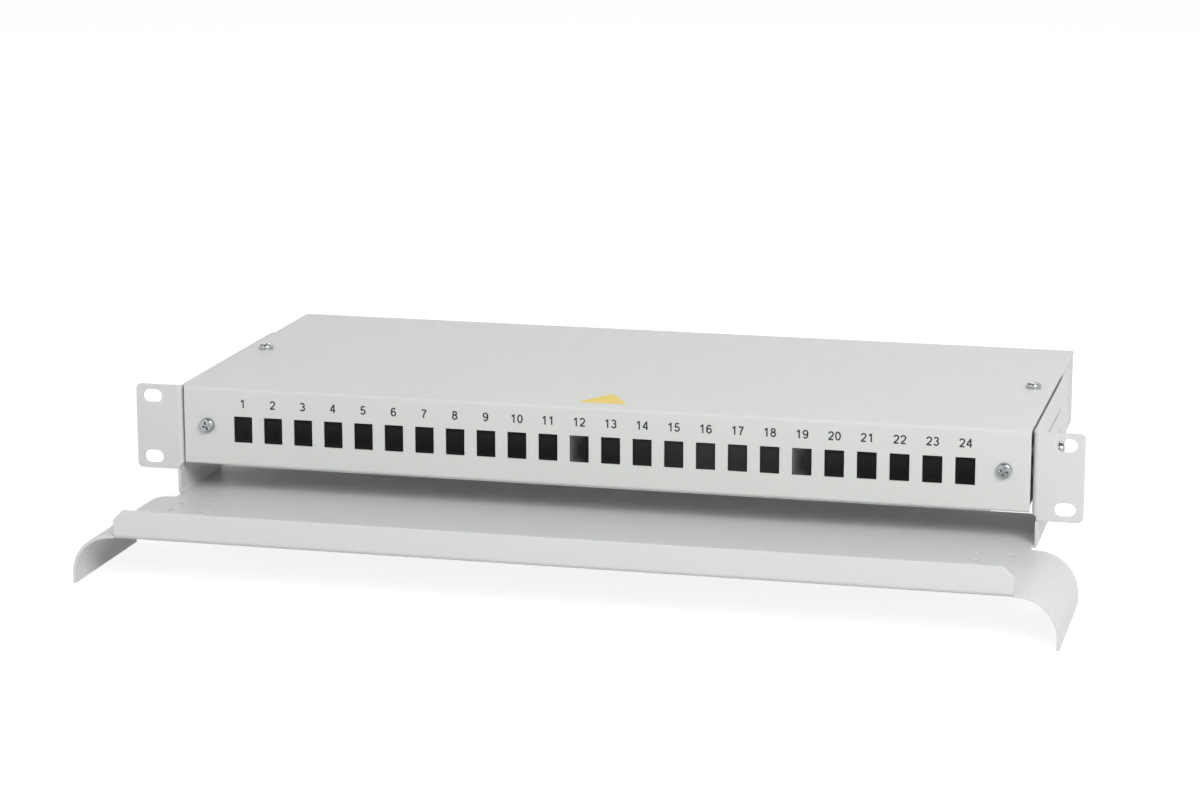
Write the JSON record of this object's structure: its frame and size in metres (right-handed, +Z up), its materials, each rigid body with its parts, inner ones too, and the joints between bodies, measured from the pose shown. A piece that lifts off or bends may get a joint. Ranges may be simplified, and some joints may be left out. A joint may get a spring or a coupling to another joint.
{
  "type": "fibre patch panel",
  "caption": "One-unit 19 inch rack fibre patch panel: flat grey sheet steel splice box that slides in two rack brackets, over a shallow cord tray with curved side wings.",
  "frame": {"origin": "middle of the rack opening, in the plane where the ears' rear faces meet the rack rails, half way up the ears", "axes": "+X to the right as seen from the front, +Y to the rear of the rack, +Z up"},
  "size_m": [0.4826, 0.3081, 0.0842],
  "materials": {
    "bracket_paint": "light grey semi-gloss powder coat",
    "tray_paint": "light grey semi-gloss powder coat",
    "housing_paint": "light grey semi-gloss powder coat",
    "hood_paint": "light grey semi-gloss powder coat",
    "zinc": "bright zinc plating",
    "zinc_sheet": "zinc-plated sheet",
    "blank_gloss": "glossy black",
    "black_nylon": "matt black",
    "white_nylon": "natural white",
    "cassette_plastic": "matt grey",
    "gland_nylon": "matt mid grey",
    "seal_rubber": "black rubber",
    "clear_lid": "clear plastic sheet"
  },
  "bodies": {
    "frame": {"left_bracket": "bracket_paint", "right_bracket": "bracket_paint", "cable_tray": "tray_paint", "tray_screw_left_front": "zinc", "tray_screw_left_rear": "zinc", "tray_screw_right_front": "zinc", "tray_screw_right_rear": "zinc"},
    "drawer": {"housing_base": "housing_paint", "hood": "hood_paint", "hood_front_screw_left": "zinc", "hood_top_screw_left": "zinc", "cassette_nut_left": "black_nylon", "fibre_guide_left": "white_nylon", "tie_anchor_left": "zinc_sheet", "gland_body_left": "gland_nylon", "gland_locknut_left": "gland_nylon", "gland_seal_left": "seal_rubber", "gland_cap_left": "gland_nylon", "entry_plug_left": "black_nylon", "hood_front_screw_right": "zinc", "hood_top_screw_right": "zinc", "cassette_nut_right": "black_nylon", "fibre_guide_right": "white_nylon", "tie_anchor_right": "zinc_sheet", "gland_body_right": "gland_nylon", "gland_locknut_right": "gland_nylon", "gland_seal_right": "seal_rubber", "gland_cap_right": "gland_nylon", "entry_plug_right": "black_nylon", "port_blank_01": "blank_gloss", "port_blank_02": "blank_gloss", "port_blank_03": "blank_gloss", "port_blank_04": "blank_gloss", "port_blank_05": "blank_gloss", "port_blank_06": "blank_gloss", "port_blank_07": "blank_gloss", "port_blank_08": "blank_gloss", "port_blank_09": "blank_gloss", "port_blank_10": "blank_gloss", "port_blank_11": "blank_gloss", "port_blank_12": "blank_gloss", "port_blank_13": "blank_gloss", "port_blank_14": "blank_gloss", "port_blank_15": "blank_gloss", "port_blank_16": "blank_gloss", "port_blank_17": "blank_gloss", "port_blank_18": "blank_gloss", "port_blank_19": "blank_gloss", "port_blank_20": "blank_gloss", "port_blank_21": "blank_gloss", "port_blank_22": "blank_gloss", "port_blank_23": "blank_gloss", "port_blank_24": "blank_gloss", "splice_cassette_lower": "cassette_plastic", "splice_holder_lower": "white_nylon", "splice_cassette_upper": "cassette_plastic", "splice_holder_upper": "white_nylon", "cassette_lid": "clear_lid", "earth_stud": "zinc", "earth_nut": "zinc"}
  },
  "joints": [
    {"name": "drawer_slide", "type": "slide", "parent": "frame", "child": "drawer", "axis": [0, -1, 0], "range_m": [0, 0.085]}
  ]
}
